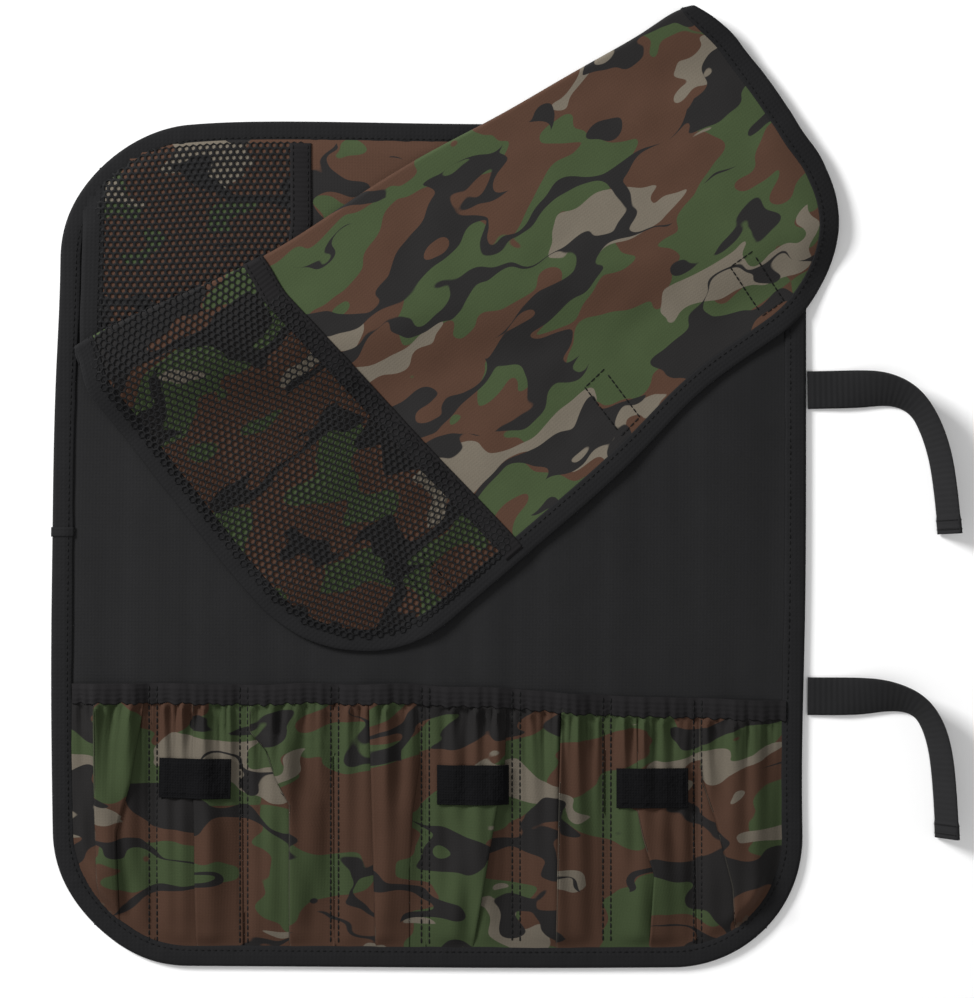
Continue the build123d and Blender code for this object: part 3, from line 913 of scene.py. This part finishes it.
# ---- the panel: outer cloth, lining and binding -------------------------------------------
def panel_path(step=2.0, inset=0.0):
    """The panel's edge, anticlockwise from the middle of its right side."""
    half_x, half_y = PANEL_WIDTH / 2 - inset, PANEL_LENGTH / 2 - inset
    radius = PANEL_CORNER - inset
    runs = [line_points((half_x, 0), (half_x, half_y - radius), step)]
    for number, (sx, sy) in enumerate(((1, 1), (-1, 1), (-1, -1), (1, -1))):
        centre = (sx * (half_x - radius), sy * (half_y - radius))
        first = number * math.pi / 2
        arc = arc_points(centre, radius, first, first + math.pi / 2, step)
        if number:
            runs.append(line_points(runs[-1][-1], arc[0], step))
        runs.append(arc)
    runs.append(line_points(runs[-1][-1], (half_x, 0), step)[:-1])
    return joined_path(runs)


def panel_sheet(name, step, low, thickness, wave, materials, cad_node):
    """A cloth layer of the panel, gently uneven, with its edge inside the binding."""
    points, faces = sheet_cells(-PANEL_WIDTH / 2, PANEL_WIDTH / 2, -PANEL_LENGTH / 2, PANEL_LENGTH / 2, step,
                                lambda x, y: panel_inset(x, y) > 2.5)
    x, y = points[:, 0], points[:, 1]
    inside = smooth((panel_inset(x, y) - 6) / 14)
    points[:, 2] = low + thickness / 2 + wave * inside * (noise(x, y, 55, 1) + 0.5 * noise(x, y, 21, 2))
    points, faces, slots = slab(points, faces, thickness / 2)
    obj = add_object(name, eased(points), faces, materials, points, [0] * len(slots))
    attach(obj, "panel")
    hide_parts(cad_node)
    return obj


outer = panel_sheet("panel_outer_cloth", 5.0, 0.15, 0.8, 0.0, [OUTER], "outer_shell")
lining = panel_sheet("panel_lining", 4.0, 1.3, 0.5, 0.30, [LINING], "inner_lining")

path = panel_path()
inward = left_normals(path, True)
profile = np.array([(-0.2, 0.9), (-0.1, 1.9), (0.5, 2.75), (2, BINDING_TOP), (6, BINDING_TOP),
                    (TAPE_FACE - 0.8, BINDING_TOP - 0.15), (TAPE_FACE, BINDING_TOP - 0.5), (TAPE_FACE, 1.2),
                    (TAPE_FACE, 0.15), (TAPE_FACE - 0.8, 0.0), (2, 0.0), (0.5, 0.15)])
points, faces = sweep(path, inward, profile, True)
rings = points.reshape(len(path), len(profile), 3)
wobble = 0.35 * noise(path[:, 0], path[:, 1], 13, 3)
pucker = 0.16 * noise(path[:, 0], path[:, 1], 4.5, 4)
for k in (5, 6, 7):
    rings[:, k, :2] += inward * wobble[:, None]
for k in (3, 4, 5):
    rings[:, k, 2] += pucker
panel_binding = add_object("panel_binding_tape", eased(points), faces, [TAPE])
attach(panel_binding, "panel")
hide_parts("panel_binding")

# The tape's two ends overlap on the left side: the upper end is folded under and stands a little proud.
overlap_profile = np.array([(-0.8, 0.8), (-0.8, 2.2), (0.2, BINDING_TOP + 0.45), (10.6, BINDING_TOP + 0.35),
                            (11.6, BINDING_TOP - 0.2), (11.6, 1.4), (4, 1.0)])
overlap_path = line_points((-PANEL_WIDTH / 2, 9.5), (-PANEL_WIDTH / 2, 4.5), 1.0)
points, faces = sweep(overlap_path, left_normals(overlap_path, False), overlap_profile, False)
overlap = add_object("panel_binding_overlap", eased(points), faces, [TAPE])
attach(overlap, "panel")

stitch_path = panel_path(inset=8.4)
stitch_path = np.vstack([stitch_path, stitch_path[:1]])
points, faces = merged([stitch_run(stitch_path, BINDING_TOP + 0.02), stitch_run(stitch_path, -0.02)])
panel_thread = add_object("panel_binding_stitches", eased(points), faces, [THREAD])
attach(panel_thread, "panel")


# ---- pockets ------------------------------------------------------------------------------
# A pleat runs down its pocket through (distance below the mouth, distance from the left seam,
# depth of the fold). Its side is 1 where the cloth to its right lies on top, -1 where the left does.
PLEATS = (
    ((1, (0, 18.4, 3), (30, 18.4, 7), (138, 18.4, 8)),
     (-1, (4, 45.0, 4), (51, 37, 5), (76, 29.6, 0), (138, 29, 0))),
    ((1, (0, 22, 0.5), (48, 22, 1), (62, 22.6, 6), (138, 22.9, 7)),),
    ((1, (0, 3.5, 1), (24, 4, 3), (34, 12.5, 6), (49, 17.8, 7), (62, 24.7, 7), (138, 24.2, 7)),),
    ((1, (0, 18.6, 4), (138, 21.8, 7)),
     (-1, (24, 45, 0), (42, 44.5, 3), (66, 41, 3), (92, 40, 0), (138, 40, 0))),
    ((-1, (0, 43.5, 0.5), (38, 42, 6), (138, 24.5, 8)),),
    ((1, (0, 24.9, 4), (138, 21.2, 8)),),
    ((1, (0, 17, 0), (60, 17, 0.5), (75, 19.8, 5), (96, 25.7, 7), (138, 22.5, 8)),),
    ((1, (0, 2.5, 0), (30, 2.5, 0.5), (46, 4, 4), (64, 10, 6), (102, 19, 8), (138, 20.8, 8)),),
)
RUN_POINTS = 54             # points across one pocket, shared between its plain runs
PLEAT_RISE = 2.3            # how far a pleat's top layer stands off the cloth under it
PLEAT_EASE = 14.0           # how far from a fold the cloth is back down
FULL_RISE = (2.8, 1.9, -2.6)            # fullness below the mouth, further down, and near the bottom
FINE_GATHER = 5.6           # spacing of the narrow and of the wide gathers at the mouth
BROAD_GATHER = 11.5


def seam_x(number):
    return POCKET_CENTRE_X + POCKET_PITCH * (number - POCKET_COUNT / 2)


def mouth_y(x):
    """The mouth line drops a little towards the right."""
    return -73.4 - 9.0 * smooth((x + 40) / 235) + 0.9 * noise(x, 0 * x, 24, 31)


def pocket_z(x, y):
    """Height of the pockets' cloth, pressed down at the seams and full between them."""
    place = (np.asarray(x, float) - seam_x(0)) / POCKET_PITCH
    across = (place - np.floor(place)) * POCKET_PITCH
    free = np.clip((across - SEAM_HALF) / (POCKET_PITCH - 2 * SEAM_HALF), 0, 1)
    below = mouth_y(x) - y
    full = np.sin(math.pi * free) ** 0.75
    height = FULL_RISE[0] + FULL_RISE[1] * smooth(below / 40) + FULL_RISE[2] * smooth((below - 95) / 38)
    height = height * (0.85 + 0.3 * noise(np.floor(place) * 7.0, 0 * place, 3, 33))
    creases = 2.1 * noise(x, y * 0.25, 9, 34) + 1.9 * noise(x, y * 0.35, 17, 35)
    creases = creases * smooth((below - 7) / 8)
    return SEAM_Z + full * (height + creases)


def ruffle(x, below):
    """Gathers that run down from the mouth band."""
    fine = np.cos(math.pi * x / FINE_GATHER + 2.4 * noise(x, below * 0.1, 13, 36))
    broad = np.cos(2 * math.pi * x / BROAD_GATHER + 2.8 * noise(x, below * 0.1, 27, 37))
    start = smooth((below - 9.5) / 4)
    fine = 1.0 - 2.0 * np.abs(fine) ** 0.7
    return start * (2.2 * fine * np.exp(-(below - 11) / 14) + 1.9 * broad * np.exp(-(below - 11) / 45))


def pleated_row(number, below):
    """One row of a pocket: points (x, height above pocket_z, distance across the cloth)."""
    row, pleats = [], []
    for side, *stations in PLEATS[number]:
        at, xs, depths = np.array(stations, float).T
        pleats.append((side, float(np.interp(below, at, xs)), float(np.interp(below, at, depths))))
    count = RUN_POINTS // (len(pleats) + 1)
    x, cloth, lift, last = 0.0, 0.0, 0.0, 0.0
    for side, fold, depth in pleats:
        rise = PLEAT_RISE * smooth(depth / 5.0)
        end = fold + depth if side > 0 else fold
        end = min(end, POCKET_PITCH - 1.0)
        for t in np.linspace(0, 1, count, endpoint=False):
            here = x + (end - x) * t
            from_last = (1 - smooth((here - x - last) / PLEAT_EASE)) * lift
            to_fold = (1 - smooth((end - here - depth) / PLEAT_EASE)) * rise if side < 0 else 0.0
            row.append((here, from_last + to_fold, cloth + (end - x) * t))
        cloth += end - x
        start = end - depth
        levels = (0.0, 0.25, 0.5, 0.5, 0.62, 0.8, 1.0) if side > 0 else (1.0, 0.8, 0.62, 0.5, 0.5, 0.25, 0.0)
        shares = (0.0, -0.06, 0.0, 0.5, 0.93, 1.0, 0.93)
        for level, share in zip(levels, shares):
            row.append((end - depth * share, level * rise, cloth + depth * max(share, 0)))
        x, cloth = start, cloth + depth
        lift, last = (rise, depth) if side > 0 else (0.0, 0.0)
    for t in np.linspace(0, 1, count):
        here = x + (POCKET_PITCH - x) * t
        from_last = (1 - smooth((here - x - last) / PLEAT_EASE)) * lift
        row.append((here, from_last, cloth + (POCKET_PITCH - x) * t))
    cloth += POCKET_PITCH - x
    return np.array(row), cloth


def pocket_sheet():
    """All eight pockets as one pleated, gathered cloth: (points, flat points, faces)."""
    shares = np.concatenate([np.linspace(0, 0.3, 34), np.linspace(0.3, 1.0, 48)[1:]])
    points, flat = [], []
    for share in shares:
        below_plain = share * POCKET_DEPTH
        cloth_start = 0.0
        for number in range(POCKET_COUNT):
            row, cloth = pleated_row(number, below_plain)
            x = seam_x(number) + row[:, 0]
            top = mouth_y(x)
            y = top + (POCKET_BOTTOM_Y - top) * share
            below = top - y
            across_cloth = cloth_start + row[:, 2]
            place = row[:, 0]
            pressed = smooth((place - SEAM_HALF) / 5) * smooth((POCKET_PITCH - SEAM_HALF - place) / 5)
            z = pocket_z(x, y) + row[:, 1] * (0.35 + 0.65 * pressed)
            z += ruffle(x, below) * (0.25 + 0.75 * pressed)
            z -= (z - POCKET_LOWEST_Z) * smooth((below - 118) / 16) * 0.35
            z = POCKET_LOWEST_Z + (z - POCKET_LOWEST_Z) * smooth((panel_inset(x, y) - 10.0) / 8.0)
            points.append(np.column_stack([x, y, np.maximum(z, POCKET_LOWEST_Z)]))
            flat.append(np.column_stack([across_cloth, y, 0 * x]))
            cloth_start += cloth
    columns = sum(len(points[k]) for k in range(POCKET_COUNT))
    points, flat = np.vstack(points), np.vstack(flat)
    faces = np.array(grid_faces(len(shares), columns))[:, ::-1]
    centre = points[faces].mean(axis=1)
    keep = (panel_inset(centre[:, 0], centre[:, 1]) > 7.0) & (np.abs(centre[:, 0]) < POCKET_SIDE_X)
    return points, flat, faces[keep]


pocket_points, pocket_flat, pocket_faces = pocket_sheet()
pocket_points = eased(pocket_points)
pockets = add_object("pocket_cloth", pocket_points, pocket_faces, [CAMO_POCKETS_PAINTED_SHADE, CAMO_BACK], pocket_flat)
thicken(pockets, 0.45, back_slot=1)
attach(pockets, "panel")
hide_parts(*[f"pocket_{k + 1}" for k in range(POCKET_COUNT)])

pocket_cells = [tuple(map(int, face)) for face in pocket_faces]
pocket_tree = BVHTree.FromPolygons([Vector(p) for p in pocket_points], pocket_cells)


def on_pockets(x, y):
    """Height of the top of the pockets' cloth at a point."""
    hit = pocket_tree.ray_cast(Vector((x, y, 60.0)), Vector((0, 0, -1)))[0]
    return (hit.z if hit else SEAM_Z) + 0.25


def over_pockets(x, y, reach):
    """Height of something stiffer that lies over the cloth: it bridges the small hollows."""
    places = [(0, 0)] + [(reach * math.cos(a), reach * math.sin(a)) for a in np.arange(6) * math.pi / 3]
    heights = np.array([on_pockets(x + dx, y + dy) for dx, dy in places])
    return 0.35 * heights.max() + 0.65 * heights.mean()


def mouth_band():
    """The elastic folded over the pockets' mouths: its lower edge is drawn into small scallops."""
    xs = np.arange(-POCKET_SIDE_X, POCKET_SIDE_X, 1.1)
    profile = [(10.4, 0.15), (10.7, 0.4), (10.1, 0.75), (7.5, 0.95), (3, 0.95), (0.4, 0.8), (-0.2, 0.2),
               (-0.1, -0.6), (0.8, -1.1), (9, -1.1), (10.2, -0.9)]
    points, flat = [], []
    top = mouth_y(xs)
    for number, x in enumerate(xs):
        height = max(over_pockets(x, top[number] - down, 2.0) for down in (4.5, 9.0))
        gather = math.cos(2 * math.pi * x / 5.2 + 2.5 * float(noise(x, 0.0, 15, 41)))
        broad = math.cos(2 * math.pi * x / 11.0 + 3 * float(noise(x, 9.0, 27, 42)))
        for place, (down, lift) in enumerate(profile):
            share = smooth(down / 12.0)
            y = top[number] - down - share * (0.35 * gather + 0.45 * broad)
            z = height + lift + (0.1 + 0.32 * share) * gather + 0.2 * broad
            points.append((x, y, max(z, 2.0)))
            flat.append((x, down + (40 if place > 6 else 0), 0.0))
    return np.array(points), np.array(flat), grid_faces(len(xs), len(profile), wrap=True)


points, flat, faces = mouth_band()
band = add_object("pocket_mouth_tape", points, faces, [ELASTIC], flat)
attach(band, "panel")
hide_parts("pocket_mouth_band")

band_tree = BVHTree.FromPolygons([Vector(p) for p in points], faces)


def on_top(x, y):
    """Height of the topmost of the pockets' cloth and the mouth band."""
    hit = band_tree.ray_cast(Vector((x, y, 60.0)), Vector((0, 0, -1)))[0]
    return max(hit.z + 0.02, on_pockets(x, y)) if hit else on_pockets(x, y)


threads = []
for number in range(1, POCKET_COUNT):
    for side in (-1, 1):
        x = seam_x(number) + side * SEAM_HALF
        start = (x, mouth_y(np.array(x)) - 1.5)
        threads.append(stitch_run(line_points(start, (x, POCKET_BOTTOM_Y + 2), 1.5), on_top, 3.1, 0.36))
points, faces = merged(threads)
seam_thread = add_object("pocket_seam_stitches", points, faces, [THREAD])
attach(seam_thread, "panel")


# ---- loop patches on the pockets ----------------------------------------------------------
def loop_patch(name, node_name, centre, turn, seed):
    """A patch of loop pile: a thin base whose top is a fine fuzz of loops."""
    half_x, half_y = LOOP_SIZE[0] / 2, LOOP_SIZE[1] / 2
    points, faces = sheet_cells(-half_x, half_x, -half_y, half_y, 0.7, lambda a, b: a == a)
    x, y = points[:, 0].copy(), points[:, 1].copy()
    flat = points.copy()
    cos, sin = math.cos(turn), math.sin(turn)
    points[:, 0] = centre[0] + x * cos - y * sin
    points[:, 1] = centre[1] + x * sin + y * cos
    coarse_x, coarse_y = np.linspace(-half_x, half_x, 14), np.linspace(-half_y, half_y, 8)
    heights = np.array([[over_pockets(centre[0] + a * cos - b * sin, centre[1] + a * sin + b * cos, 3.0)
                         for b in coarse_y] for a in coarse_x])
    u = (x + half_x) / (2 * half_x) * (len(coarse_x) - 1)
    v = (y + half_y) / (2 * half_y) * (len(coarse_y) - 1)
    i, j = np.minimum(u.astype(int), len(coarse_x) - 2), np.minimum(v.astype(int), len(coarse_y) - 2)
    a, b = u - i, v - j
    base = (heights[i, j] * (1 - a) * (1 - b) + heights[i + 1, j] * a * (1 - b)
            + heights[i, j + 1] * (1 - a) * b + heights[i + 1, j + 1] * a * b)
    edge = np.minimum(half_x - np.abs(x), half_y - np.abs(y))
    fuzz = np.random.default_rng(seed).uniform(-0.22, 0.22, len(x)) * smooth(edge / 1.5)
    sewn = 0.35 * bump(edge, 1.6, 0.7)
    points[:, 2] = base + 0.9
    lifted = points + np.column_stack([0 * x, 0 * x, 0.35 + 0.45 * smooth(edge / 2.5) + fuzz - sewn])
    both, all_faces, slots = slab(points, faces, 0.0)
    both[:len(points)] = lifted
    obj = add_object(name, both, all_faces, [PILE], np.vstack([flat, flat]), [0] * len(slots))
    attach(obj, "panel")
    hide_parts(node_name)
    return obj


for number, (centre, turn) in enumerate(LOOP_PATCHES):
    loop_patch(f"loop_pad_{number + 1}", f"loop_patch_{number + 1}", centre, turn, 50 + number)


# ---- straps -------------------------------------------------------------------------------
def tilt_at(share):
    """How far the webbing has twisted about its own line: flat at its seam, on edge past the bend."""
    return STRAP_TILT * smooth((share - 0.10) / 0.42)


def route_points(name, route):
    """Points along the smooth line through a strap's route, with the height of its middle."""
    curve = bpy.data.curves.new(name, "CURVE")
    curve.dimensions = "3D"
    spline = curve.splines.new("NURBS")
    spline.points.add(len(route) - 1)
    count = len(route)
    for k, (x, y) in enumerate(route):
        lift = 1.05 + (STRAP_WIDTH / 2 - 0.8) * math.sin(tilt_at(k / (count - 1)))
        spline.points[k].co = (x * MM, y * MM, lift * MM, 1.0)
    spline.order_u = 3
    spline.use_endpoint_u = True
    spline.resolution_u = 24
    holder = bpy.data.objects.new(name, curve)
    scene.collection.objects.link(holder)
    bpy.context.view_layer.update()
    mesh = bpy.data.meshes.new_from_object(holder)
    line = np.array([v.co[:] for v in mesh.vertices])
    bpy.data.objects.remove(holder)
    bpy.data.meshes.remove(mesh)
    return line


def strap(name, route):
    """A length of webbing that twists from flat to nearly on edge, with a hemmed end."""
    line = resampled(route_points(name + "_line", route), 1.2 * MM) / MM
    along = np.gradient(line, axis=0)
    along /= np.linalg.norm(along, axis=1)[:, None]
    travelled = np.concatenate([[0], np.cumsum(np.linalg.norm(np.diff(line, axis=0), axis=1))])
    share = travelled / travelled[-1]
    flatwise = np.cross((0, 0, 1), along)
    flatwise /= np.linalg.norm(flatwise, axis=1)[:, None]
    up = np.cross(along, flatwise)
    tilt = tilt_at(share)
    wide = flatwise * np.cos(tilt)[:, None] + up * np.sin(tilt)[:, None]
    thick = np.cross(along, wide)
    thick /= np.linalg.norm(thick, axis=1)[:, None]
    half = STRAP_WIDTH / 2
    hemmed = smooth((travelled - (travelled[-1] - HEM_LENGTH)) / 1.2)
    depth = (STRAP_THICKNESS / 2) * (1 + 0.85 * hemmed)
    profile = [(-1.0, 0.0), (-0.97, 0.7), (-0.85, 1.0), (-0.4, 0.94), (0, 0.92), (0.4, 0.94), (0.85, 1.0),
               (0.97, 0.7)]
    profile += [(-across, -deep) for across, deep in profile]
    points, flat = [], []
    for k in range(len(line)):
        for across, deep in profile:
            point = line[k] + wide[k] * across * half + thick[k] * deep * depth[k]
            points.append((point[0], point[1], max(point[2], 0.05)))
            flat.append((across * half, travelled[k], deep))
    faces = grid_faces(len(line), len(profile), wrap=True)
    faces.append(tuple(range(len(profile)))[::-1])
    faces.append(tuple(range((len(line) - 1) * len(profile), len(line) * len(profile))))
    obj = add_object(name + "_webbing", points, faces, [WEBBING], flat)
    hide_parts(name)
    rows = []
    for back in (2.0, HEM_LENGTH - 1.5):
        k = int(np.argmin(np.abs(travelled - (travelled[-1] - back))))
        for side in (-1, 1):
            for place in np.arange(-0.8, 0.81, 0.2):
                centre = line[k] + wide[k] * place * half + thick[k] * side * (depth[k] + 0.05)
                rows.append((centre, wide[k], along[k], thick[k]))
    points, faces = [], []
    for centre, a, b, c in rows:
        base = len(points)
        for end in (-1.25, 1.25):
            for da, dc in ((-0.3, 0), (0, -0.28), (0.3, 0), (0, 0.28)):
                points.append(centre + a * end + b * da + c * dc)
        faces += [(base + m, base + (m + 1) % 4, base + 4 + (m + 1) % 4, base + 4 + m) for m in range(4)]
        faces += [(base + 3, base + 2, base + 1, base), (base + 4, base + 5, base + 6, base + 7)]
    stitches = add_object(name + "_hem_stitches", points, faces, [THREAD])
    for piece in (obj, stitches):
        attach(piece, name)


strap("strap_upper", UPPER_STRAP_ROUTE)
strap("strap_lower", LOWER_STRAP_ROUTE)


# ---- the cloths' own facts ----------------------------------------------------------------
def flat_points(obj):
    """Where an object's points lie on the flat cloth, in metres."""
    flat = np.zeros(len(obj.data.vertices) * 3)
    obj.data.attributes["flat"].data.foreach_get("vector", flat)
    return flat.reshape(-1, 3)


def flat_area(obj):
    """Area of a piece of the flap before it was folded, in square metres."""
    flat = flat_points(obj)
    total = 0.0
    for face in obj.data.polygons:
        if face.material_index == 0:
            x, y = flat[list(face.vertices), 0], flat[list(face.vertices), 1]
            total += abs(float(np.dot(x, np.roll(y, -1)) - np.dot(y, np.roll(x, -1)))) / 2
    return total


def declare_flap(obj, along):
    """Works out a piece of the flap's flat length, width and area; along is the direction that its longer
    side runs in.
    """
    flat = flat_points(obj)[:, :2]
    length = float(np.ptp(flat @ along))
    width = max(float(np.ptp(flat @ (-along[1], along[0]))), 0.0101)
    area = float(np.clip(flat_area(obj), 0.301 * width * length, width * length))


RIDGE_ALONG_FLAT = np.array((RIDGE_NORMAL_FLAT[1], -RIDGE_NORMAL_FLAT[0]))
for region, obj in flap_cloth.items():
    declare_flap(obj, {"valley": VALLEY_ALONG, "upper": VALLEY_ALONG}.get(region, RIDGE_ALONG_FLAT))
